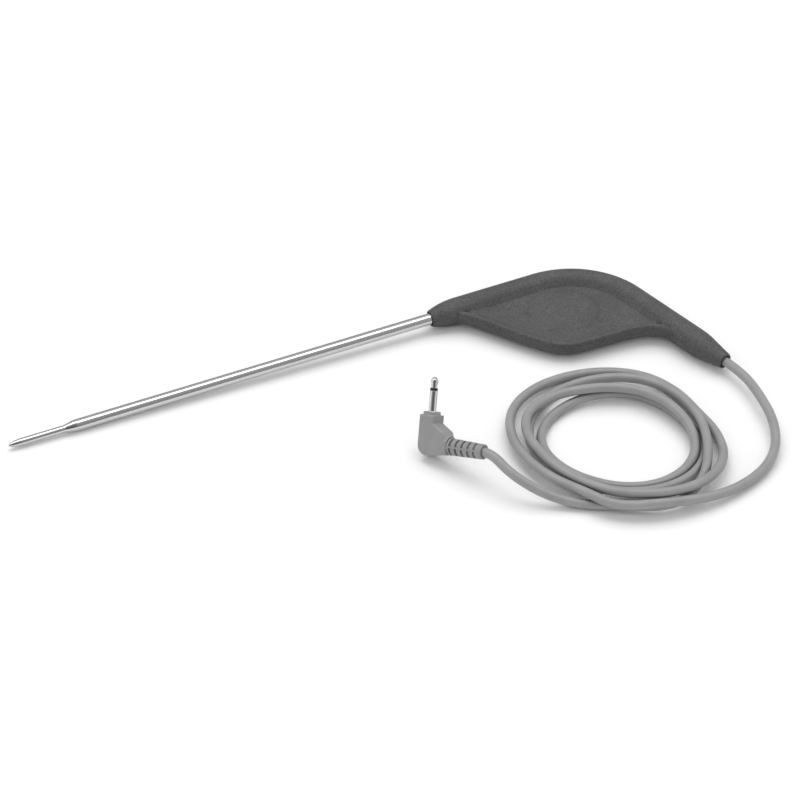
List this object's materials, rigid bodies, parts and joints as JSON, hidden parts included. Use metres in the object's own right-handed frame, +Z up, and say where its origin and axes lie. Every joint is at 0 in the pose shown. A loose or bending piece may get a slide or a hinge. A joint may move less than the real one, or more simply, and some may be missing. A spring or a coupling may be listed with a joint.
{
  "type": "meat thermometer probe",
  "caption": "Stainless meat thermometer probe with a stepped tip, a leaf-shaped silicone handle and a coiled cord to a right-angle plug.",
  "frame": {"origin": "middle of the base of the probe and handle together, on the table they lie on", "axes": "+X along the probe from its point towards the handle, +Y away from the cord's coil, +Z up"},
  "size_m": [0.2277, 0.1273, 0.0222],
  "materials": {
    "steel": "polished along its length",
    "nickel": "polished nickel plate",
    "grip_silicone": "matte with a fine moulded grain",
    "cord_jacket": "matte grey silicone",
    "plug_vinyl": "satin moulded vinyl",
    "black_plastic": "satin black",
    "core_nylon": "natural nylon",
    "wire_insulation": "extruded insulation",
    "shrink_sleeve": "shrunk sleeve",
    "tinned_wire": "tinned copper",
    "sealant": "cured sealant",
    "paste": "thermal paste",
    "bead_glass": "clear amber glass"
  },
  "bodies": {
    "root": {"probe_tube": "steel", "tip_tube": "steel", "probe_point": "steel", "probe_collar": "steel", "thermistor_bead": "bead_glass", "thermistor_leads": "tinned_wire", "lead_crimps": "tinned_wire", "thermal_paste": "paste", "signal_wires": "wire_insulation", "probe_seal": "sealant", "core_upper": "core_nylon", "core_lower": "core_nylon", "grip": "grip_silicone", "splice_crimps": "tinned_wire", "splice_sleeve": "shrink_sleeve", "cord_cores": "wire_insulation", "handle_cord_end": "cord_jacket", "cord_clamp": "steel", "cord_lead": "cord_jacket", "cord_coil": "cord_jacket", "cord_tail": "cord_jacket", "plug_tip_contact": "nickel", "plug_insulator": "black_plastic", "plug_sleeve_contact": "nickel", "plug_washer": "black_plastic", "plug_inner_block": "core_nylon", "plug_wires": "wire_insulation", "plug_solder": "tinned_wire", "plug_cord_end": "cord_jacket", "plug_body": "plug_vinyl", "plug_boot": "plug_vinyl"}
  },
  "joints": []
}
